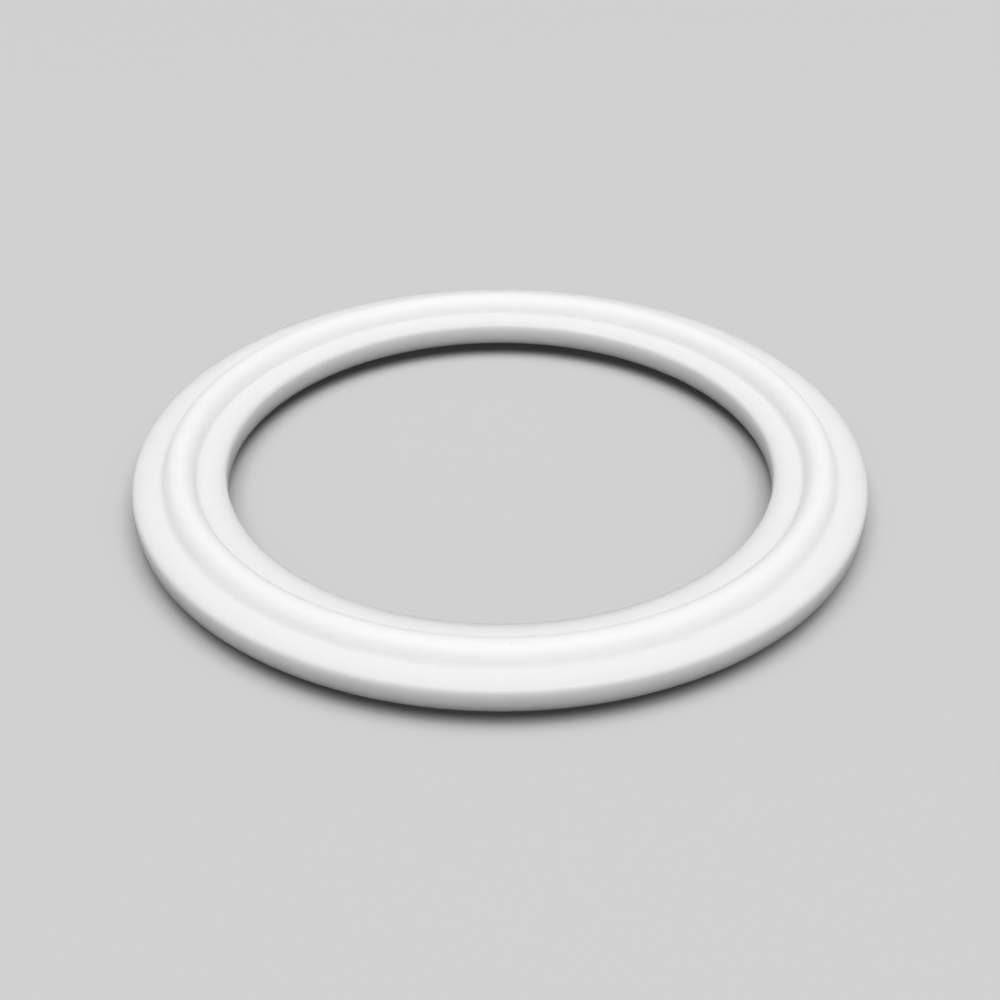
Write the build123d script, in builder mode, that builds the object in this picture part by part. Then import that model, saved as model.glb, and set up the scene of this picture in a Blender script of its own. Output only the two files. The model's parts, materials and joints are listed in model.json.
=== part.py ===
from build123d import *
import os

# A sanitary clamp gasket for 2 inch tube, turned in one piece from white PTFE. Two ferrules press on
# it from above and below, and a clamp draws them together. Its flat web fills the gap between the
# flanges, and the half-round bead on each side of the web seats in the groove of a ferrule.
#
# Half of its section is drawn in the XZ plane and turned once about the axis. The section is built
# outwards from the bore: inner land, bead, outer land and rim.
#
# Frame: millimetres, with the origin at the middle of the ring, halfway through the web, and +Z along
# the axis. The ring is the same both ways up.

# Driving dimensions
bore_diameter = 47.8  # flush with the inside of the tube
inner_land_width = 2.6  # flat, from the bore to the bead
bead_radius = 1.4  # of the half-round, and so the bead's height above the web too
outer_land_width = 2.7  # flat, from the bead to the rim
web_thickness = 2.15  # between the two flat faces
lip_radius = 0.3  # rounds both edges of the bore
rim_radius = 0.4  # rounds both edges of the rim
inner_foot_radius = 0.2  # blends the bead into the inner land, almost a crease
outer_foot_radius = 0.4  # blends the bead into the outer land, softer

# Places across the section, as distances from the axis
bore_wall = bore_diameter / 2
bead_centre = bore_wall + inner_land_width + bead_radius
rim_wall = bead_centre + bead_radius + outer_land_width

# Height of a flat face above the middle of the web, where the half-rounds are centred
face_height = web_thickness / 2

with BuildPart() as gasket:
    with BuildSketch(Plane.XZ) as section:
        with Locations(((bore_wall + rim_wall) / 2, 0)):
            Rectangle(rim_wall - bore_wall, web_thickness)
        # A half-round bead stands on each face, and the other half of its circle is inside the web
        with Locations((bead_centre, face_height), (bead_centre, -face_height)):
            Circle(bead_radius)

        # Grouped from the axis outwards, the first and last corners are the bore's and the rim's,
        # and the beads' feet are the next ones in. Each is picked afresh, as a fillet adds corners.
        fillet(section.vertices().group_by(Axis.X)[1], inner_foot_radius)
        fillet(section.vertices().group_by(Axis.X)[-2], outer_foot_radius)
        fillet(section.vertices().group_by(Axis.X)[0], lip_radius)
        fillet(section.vertices().group_by(Axis.X)[-1], rim_radius)
    revolve(axis=Axis.Z)
gasket.part.label = "gasket"

os.makedirs("parts", exist_ok=True)
export_step(gasket.part, "parts/gasket.step")

size = gasket.part.bounding_box().size
print(f"bead circle {2 * bead_centre:.2f} mm, rim {2 * rim_wall:.2f} mm")
print(f"gasket {size.X:.2f} x {size.Y:.2f} x {size.Z:.2f} mm, {gasket.part.volume:.1f} mm3")
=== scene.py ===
# %% [markdown]
# # A sanitary clamp gasket
# This ring seals a clamped joint between two stainless tubes. It is a flat web with a half-round bead
# on each face, and the beads seat in the grooves of the two ferrules. It is made here as white PTFE, a
# slippery and slightly waxy plastic that lets some light in. The CAD model is the fixed frame: the main
# sizes come from it, and nothing in this lesson moves it.

# %% Load the frame
import json
import math

import bmesh
import bpy
from mathutils import Matrix, Vector


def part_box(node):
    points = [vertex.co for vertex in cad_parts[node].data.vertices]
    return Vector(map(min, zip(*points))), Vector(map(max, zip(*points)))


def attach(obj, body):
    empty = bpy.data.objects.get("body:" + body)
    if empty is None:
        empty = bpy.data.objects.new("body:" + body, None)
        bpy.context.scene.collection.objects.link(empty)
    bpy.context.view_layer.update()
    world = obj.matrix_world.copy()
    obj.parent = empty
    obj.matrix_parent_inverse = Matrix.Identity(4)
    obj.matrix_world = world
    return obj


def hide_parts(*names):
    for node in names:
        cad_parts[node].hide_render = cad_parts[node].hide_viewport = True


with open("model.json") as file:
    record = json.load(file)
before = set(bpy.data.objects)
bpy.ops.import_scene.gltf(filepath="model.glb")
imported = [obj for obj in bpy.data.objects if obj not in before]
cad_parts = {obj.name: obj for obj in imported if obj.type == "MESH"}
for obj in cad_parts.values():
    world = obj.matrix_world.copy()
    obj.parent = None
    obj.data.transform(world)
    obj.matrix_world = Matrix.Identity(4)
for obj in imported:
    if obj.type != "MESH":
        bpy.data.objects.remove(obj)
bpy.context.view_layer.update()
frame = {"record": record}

# %% [markdown]
# ## Sizes from the frame
# A scene that repeats a size by hand goes wrong when the model changes. The rim and the crest of the
# bead come from the node's box, and the bore, the flat face and the bead's circle come from the
# mounts in the record. Only the small roundings have no place there, so they are named here.

# %% Sizes of the section
mm = 0.001
lowest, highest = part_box("gasket")
mounts = {mount["name"]: mount for mount in frame["record"]["mounts"]}
bore_wall = mounts["bore"]["dims"]["r_mm"] * mm
face_height = mounts["upper_face"]["pos_m"][2]
bead_centre = mounts["upper_bead"]["pos_m"][0]
rim_wall = highest[0]
bead_radius = highest[2] - face_height

lip_radius = 0.3 * mm
rim_radius = 0.4 * mm
inner_foot_radius = 0.2 * mm
outer_foot_radius = 0.4 * mm
print(f"bore {bore_wall / mm:.2f}, bead {bead_centre / mm:.2f}, rim {rim_wall / mm:.2f} mm from the axis")

# %% [markdown]
# ## Drawing the section
# A turned part is one section carried round an axis, so the section deserves the care. It could be a
# long list of points, but a list says nothing about the shape. Here a bmesh draws it as a draughtsman
# would: a tip moves along a straight line, or turns about a centre like a compass, and each move
# leaves short edges behind it. The spin operator does the compass work when it is given one vertex.

# %% A tip that draws lines and arcs
section = bmesh.new()
line_step = 0.3 * mm
arc_step = 0.15 * mm
fewest_on_arc = 5
tip = section.verts.new((bore_wall, 0, 0))
print(f"the tip starts {tip.co.x / mm:.2f} mm from the axis")


def line_to(tip, distance, height):
    """Draws straight to a distance from the axis and a height, in steps of about line_step"""
    target = Vector((distance, 0, height))
    steps = max(1, round((target - tip.co).length / line_step))
    drawn = bmesh.ops.spin(
        section, geom=[tip], cent=(0, 0, 0), axis=(0, 1, 0), dvec=(target - tip.co) / steps,
        angle=0, steps=steps, use_merge=False, use_duplicate=False,
    )
    return next(part for part in drawn["geom_last"] if isinstance(part, bmesh.types.BMVert))


def turn(tip, distance, height, angle):
    """Turns about the centre at a distance from the axis and a height. A positive angle runs over the top."""
    radius = (tip.co - Vector((distance, 0, height))).length
    steps = max(fewest_on_arc, round(abs(angle) * radius / arc_step))
    drawn = bmesh.ops.spin(
        section, geom=[tip], cent=(distance, 0, height), axis=(0, 1, 0), dvec=(0, 0, 0),
        angle=angle, steps=steps, use_merge=False, use_duplicate=False,
    )
    return next(part for part in drawn["geom_last"] if isinstance(part, bmesh.types.BMVert))


# %% [markdown]
# A bead meets the land in a small hollow rounding, its foot. The foot's circle touches the land below
# it and the bead's circle beside it, and where two circles touch, their centres are both radii apart.
# That gives the foot's centre and how far round each arc goes, so every join is smooth.

# %% Where each foot touches the bead
quarter = math.pi / 2


def foot_of_bead(radius):
    """A foot's distance from the bead's centre, and how high up the bead it reaches, as an angle"""
    reach = math.sqrt((bead_radius + radius) ** 2 - radius**2)
    return reach, math.asin(radius / (bead_radius + radius))


inner_reach, inner_rise = foot_of_bead(inner_foot_radius)
outer_reach, outer_rise = foot_of_bead(outer_foot_radius)
print(f"feet end {inner_reach / mm:.2f} and {outer_reach / mm:.2f} mm from the middle of the bead")

# %% Half of the section, from the bore over the bead to the rim
tip = line_to(tip, bore_wall, face_height - lip_radius)
tip = turn(tip, bore_wall + lip_radius, face_height - lip_radius, quarter)
tip = line_to(tip, bead_centre - inner_reach, face_height)
tip = turn(tip, bead_centre - inner_reach, face_height + inner_foot_radius, inner_rise - quarter)
tip = turn(tip, bead_centre, face_height, math.pi - inner_rise - outer_rise)
tip = turn(tip, bead_centre + outer_reach, face_height + outer_foot_radius, outer_rise - quarter)
tip = line_to(tip, rim_wall - rim_radius, face_height)
tip = turn(tip, rim_wall - rim_radius, face_height - rim_radius, quarter)
tip = line_to(tip, rim_wall, 0)
print(f"{len(section.verts)} points, last one {tip.co.x / mm:.2f} mm from the axis")

# %% [markdown]
# ## Turning the ring
# The gasket works either way up, so the lower half is the mirror image of the upper one. One full
# spin about the axis then makes the ring, and use_merge closes it where the turn comes back to its
# start. A spin can turn a skin inside out, so doubles are merged and the normals are recalculated.

# %% Mirror the section and spin it
turns = 480
weld = 0.001 * mm
bmesh.ops.mirror(
    section, geom=section.verts[:] + section.edges[:], matrix=Matrix.Identity(4), merge_dist=weld, axis="Z"
)
bmesh.ops.spin(
    section, geom=section.verts[:] + section.edges[:], cent=(0, 0, 0), axis=(0, 0, 1), dvec=(0, 0, 0),
    angle=2 * math.pi, steps=turns, use_merge=True, use_duplicate=False,
)
bmesh.ops.remove_doubles(section, verts=section.verts, dist=weld)
bmesh.ops.recalc_face_normals(section, faces=section.faces)
open_edges = sum(len(edge.link_faces) != 2 for edge in section.edges)
print(f"{len(section.faces)} faces, {open_edges} open edges, {section.calc_volume() / mm**3:.0f} mm3")

# %% [markdown]
# ## Two small marks
# This ring has two marks, both on the upper lip of the bore: a small nick and a small burr. They are
# too small to model apart, so a soft brush moves the points that lie near a place on the ring. Places
# are given as a maker would: how far from the axis, the bearing and the height.

# %% Places on the ring
share_down_lip = 0.3
lip_height = face_height - share_down_lip * lip_radius
lip_distance = bore_wall + 0.2 * mm
marks = (
    # distance from the axis, bearing in degrees, height, width, and how far it is pushed in
    (lip_distance, -149.6, lip_height, 0.5 * mm, 0.07 * mm),
    (lip_distance, -104.8, lip_height, 0.35 * mm, -0.08 * mm),
)


def on_ring(distance, bearing, height):
    """The place at a distance from the axis, a bearing in degrees and a height"""
    return Matrix.Rotation(math.radians(bearing), 3, "Z") @ Vector((distance, 0, height))


print("the nick in mm:", [round(part / mm, 2) for part in on_ring(*marks[0][:3])])

# %% Press the marks, most in the middle and smoothly less towards the edge
for distance, bearing, height, width, depth in marks:
    place = on_ring(distance, bearing, height)
    for point in section.verts:
        nearness = 1 - (point.co - place).length / width
        if nearness > 0:
            point.co -= point.normal * depth * nearness**2 * (3 - 2 * nearness)
print(f"{len(marks)} small marks")

# %% [markdown]
# ## Making the object
# The bmesh becomes a mesh with smooth shading. The piece rides on the frame's only body and stands for
# the plain CAD ring, which is hidden.

# %% Make it an object
for face in section.faces:
    face.smooth = True
ring_mesh = bpy.data.meshes.new("ptfe_ring")
section.to_mesh(ring_mesh)
section.free()
ring = bpy.data.objects.new("ptfe_ring", ring_mesh)
bpy.context.scene.collection.objects.link(ring)
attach(ring, "root")
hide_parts("gasket")
print(ring.name, "has", len(ring_mesh.polygons), "faces and rides on root")

# %% [markdown]
# ## Shader maths in Python
# A node tree soon grows hard to read when every sum is a node made by hand. The small class below
# wraps a socket, so that an expression such as 1 - mask * 0.5 adds the Math nodes itself. Any other
# kind of node comes from one method, which sets the node's own settings before it fills its inputs.


# %% A socket that can be reckoned with
class Wire:
    """An output socket. Arithmetic on it adds Math nodes to its tree."""

    def __init__(self, socket):
        self.socket = socket

    def maths(self, operation, first, second):
        """Adds one Math node and returns its output"""
        board = Board(self.socket.id_data)
        return board.node("ShaderNodeMath", {"operation": operation}, {0: first, 1: second})

    def __add__(self, other):
        return self.maths("ADD", self, other)

    def __mul__(self, other):
        return self.maths("MULTIPLY", self, other)

    def __sub__(self, other):
        return self.maths("SUBTRACT", self, other)

    def __rsub__(self, other):
        return self.maths("SUBTRACT", other, self)

    __radd__ = __add__
    __rmul__ = __mul__


print(Wire.__doc__)


# %% A tree to build on
class Board:
    """A node tree to build on"""

    def __init__(self, tree):
        self.tree = tree

    def node(self, kind, settings, inputs, output=0):
        """Adds a node, sets its settings, gives its inputs values or wires, and returns an output"""
        node = self.tree.nodes.new(kind)
        for setting, value in settings.items():
            setattr(node, setting, value)
        self.fill(node, inputs)
        return Wire(node.outputs[output])

    def fill(self, node, inputs):
        """Gives each named input of a node its value or its wire"""
        for key, value in inputs.items():
            if isinstance(value, Wire):
                self.tree.links.new(value.socket, node.inputs[key])
            else:
                node.inputs[key].default_value = value

    def blend(self, share, first, second):
        """A colour, from the first one at a share of 0 to the second at 1"""
        return self.node("ShaderNodeMix", {"data_type": "RGBA"}, {0: share, 6: first, 7: second}, output=2)


print(Board.__doc__)


# %% A material to start from
def new_material(name):
    """A material, its board and its Principled shader"""
    material = bpy.data.materials.new(name)
    material.use_nodes = True
    return material, Board(material.node_tree), material.node_tree.nodes["Principled BSDF"]


print(new_material.__doc__)

# %% [markdown]
# ## Turned skin
# The tool of a lathe leaves very fine rings. Seen across the section they change quickly, and along
# the turn they hardly change at all. So the noise reads the distance from the axis and the height,
# and only a little of the place itself, which lets each ring fade and come back as it goes round.

# %% Fine rings
rings_per_metre = 5500
fade_per_metre = 60
ring_detail = 2
middle_of_noise = 0.5
print(f"fine rings about {1 / rings_per_metre / mm:.2f} mm apart")


def turned_rings(board, place):
    """Noise from 0 to 1 that runs in rings about the axis"""
    flat = board.node("ShaderNodeVectorMath", {"operation": "MULTIPLY"}, {0: place, 1: (1, 1, 0)})
    from_axis = board.node("ShaderNodeVectorMath", {"operation": "LENGTH"}, {0: flat}, output="Value")
    height = board.node("ShaderNodeSeparateXYZ", {}, {0: place}, output="Z")
    slow = board.node("ShaderNodeVectorMath", {"operation": "SCALE"}, {0: flat, "Scale": fade_per_metre})
    return board.node(
        "ShaderNodeTexNoise", {"noise_dimensions": "4D"},
        {"Vector": slow, "W": (from_axis + height) * rings_per_metre, "Scale": 1, "Detail": ring_detail},
    )


# %% [markdown]
# ## Specks
# White plastic shows every grain of dirt, and this ring has three. Each speck is a soft spot round
# one place, found by its distance from the surface point, so it needs no texture of its own.

# %% Grains of dirt
specks = (
    # distance from the axis, bearing in degrees, height, radius and darkness
    (26.65 * mm, 11.9, face_height + 0.65 * mm, 0.17 * mm, 0.11),
    (29.24 * mm, -116.0, face_height + 0.42 * mm, 0.15 * mm, 0.105),
    (28.29 * mm, -88.25, face_height + 1.35 * mm, 0.12 * mm, 0.14),
)
speck_core = 0.3
print(len(specks), "specks")


def dirt(board, place):
    """How dirty a place is, from 0 to 1"""
    dirty = 0
    for distance, bearing, height, radius, darkness in specks:
        middle = on_ring(distance, bearing, height)
        away = board.node(
            "ShaderNodeVectorMath", {"operation": "DISTANCE"}, {0: place, 1: middle}, output="Value"
        )
        dirty += board.node(
            "ShaderNodeMapRange", {"interpolation_type": "SMOOTHSTEP"},
            {
                "Value": away, "From Min": radius, "From Max": speck_core * radius,
                "To Min": 0, "To Max": darkness,
            },
        )
    return dirty


# %% [markdown]
# ## White PTFE
# PTFE is about as white as a plastic can be, and slightly waxy: light goes in, scatters for a few
# millimetres and comes out again, so the small steps of the section look soft and a wall fades slowly
# from its lit edge. Subsurface scattering does that, and it is the same everywhere, so it is set on the
# shader's own sockets. Faint milky clouds, the rings and the specks are what changes over the surface.

# %% Values of the white
white = (0.94, 0.94, 0.94, 1)
milky = (0.915, 0.915, 0.915, 1)
grime = (0.12, 0.11, 0.1, 1)
clouds_per_metre = 200
cloud_detail = 3
scatter_depth = 3.4 * mm
satin = 0.5
satin_spread = 0.14
index_of_ptfe = 1.36
groove_strength = 0.3
groove_depth = 0.01 * mm
print(f"light goes {scatter_depth / mm:.1f} mm deep")


# %% Build the white and put it on the ring
def white_ptfe():
    """White plastic with a turned satin skin"""
    material, board, shader = new_material("white_ptfe")
    place = board.node("ShaderNodeTexCoord", {}, {}, output="Object")
    cloudy = {"Vector": place, "Scale": clouds_per_metre, "Detail": cloud_detail}
    clouds = board.node("ShaderNodeTexNoise", {}, cloudy)
    rings = turned_rings(board, place)
    grooves = {"Strength": groove_strength, "Distance": groove_depth, "Height": rings}
    body = board.blend(clouds, white, milky)
    board.fill(shader, {
        "Base Color": board.blend(dirt(board, place), body, grime),
        "Roughness": satin + (rings - middle_of_noise) * satin_spread,
        "Normal": board.node("ShaderNodeBump", {}, grooves, output="Normal"),
        "IOR": index_of_ptfe,
        "Subsurface Weight": 1,
        "Subsurface Radius": (1, 1, 1),
        "Subsurface Scale": scatter_depth,
    })
    return material


ring.data.materials.append(white_ptfe())
print("the ring is", ring.data.materials[0].name)

# %% [markdown]
# ## Floor
# The ring lies on plain pale paper. White paper close to a white thing lights it from below and
# flattens it, so the paper is pale only where it is seen, by the camera or in a reflection. To the
# light that bounces off it the same paper is dark, which lets the walls of the ring fall into shade.

# %% Paper
pale = (0.62, 0.62, 0.62, 1)
dark = (0.05, 0.05, 0.05, 1)
matt = 0.9
print(f"paper looks {pale[0]} and gives back {dark[0]}")


def looked_at(board):
    """1 for a ray that shows something to the eye, 0 for one that only carries light"""
    rays = ("Camera", "Glossy", "Transmission")
    return sum(board.node("ShaderNodeLightPath", {}, {}, output=f"Is {ray} Ray") for ray in rays)


def pale_paper():
    """Paper that looks pale but gives little light back to the ring"""
    material, board, shader = new_material("pale_paper")
    board.fill(shader, {
        "Base Color": board.blend(looked_at(board), dark, pale),
        "Roughness": matt,
        "Specular IOR Level": 0,
    })
    return material


# %% Lay the floor under the lower bead
floor_width = 4
floor_shape = bmesh.new()
bmesh.ops.create_grid(floor_shape, x_segments=1, y_segments=1, size=floor_width / 2)
bmesh.ops.translate(floor_shape, verts=floor_shape.verts, vec=(0, 0, lowest[2]))
floor_mesh = bpy.data.meshes.new("floor")
floor_shape.to_mesh(floor_mesh)
floor_shape.free()
floor = bpy.data.objects.new("floor", floor_mesh)
bpy.context.scene.collection.objects.link(floor)
floor.data.materials.append(pale_paper())
print(f"floor at {lowest[2] / mm:.2f} mm")

# %% [markdown]
# ## Light
# White on a pale floor is read from its shading alone. One large soft lamp stands high up and a little
# to the front. It lights both flanks of a bead nearly alike, while the walls face away and are darker.
# The lamp is large and far away, so the floor is lit evenly as far as it goes.

# %% Lamp
lamp_width = 6
lamp_place = Vector((0.2, -1.2, 5))
lamp_power = 285
lamp_data = bpy.data.lights.new("soft_box", "AREA")
lamp_data.shape = "DISK"
lamp_data.size = lamp_width
lamp_data.energy = lamp_power
lamp = bpy.data.objects.new("soft_box", lamp_data)
lamp.location = lamp_place
lamp.rotation_euler = (-lamp_place).to_track_quat("-Z", "Y").to_euler()
bpy.context.scene.collection.objects.link(lamp)
print(f"a lamp {lamp_width} m wide and {lamp_place.length:.1f} m away")

# %% [markdown]
# ## Room
# A weak plain white world keeps the walls from going black. Like the paper, it looks paler than it
# shines, so that it meets the floor without a dark band. The Standard view shows the whites as lit.

# %% World
room_light = 0.24
backdrop = 0.64
world = bpy.data.worlds.new("room")
world.use_nodes = True
board = Board(world.node_tree)
board.fill(world.node_tree.nodes["Background"], {
    "Color": (1, 1, 1, 1),
    "Strength": room_light + looked_at(board) * (backdrop - room_light),
})
bpy.context.scene.world = world
bpy.context.scene.view_settings.view_transform = "Standard"
print(f"the world shines at {room_light} and looks {backdrop}")

# %% [markdown]
# ## Camera
# The ring is seen from the front, from a little over a third of the way up. The camera is close, so
# the near side is wider than the far side. It aims just in front of the ring's middle, which lets the
# ring sit a little above the middle of the view.

# %% Camera
camera_rise = math.radians(34.1)
camera_away = 147.7 * mm
camera_aim = Vector((0, -5.6, 0)) * mm
lens_length = 62
sensor_width = 36
nearest_seen = 10 * mm
camera_data = bpy.data.cameras.new("camera")
camera_data.lens = lens_length
camera_data.sensor_width = sensor_width
camera_data.clip_start = nearest_seen
camera = bpy.data.objects.new("camera", camera_data)
camera.location = camera_aim + camera_away * Vector((0, -math.cos(camera_rise), math.sin(camera_rise)))
camera.rotation_euler = (quarter - camera_rise, 0, 0)
bpy.context.scene.collection.objects.link(camera)
bpy.context.scene.camera = camera
print(f"camera {camera_away / mm:.0f} mm away with a {lens_length} mm lens")
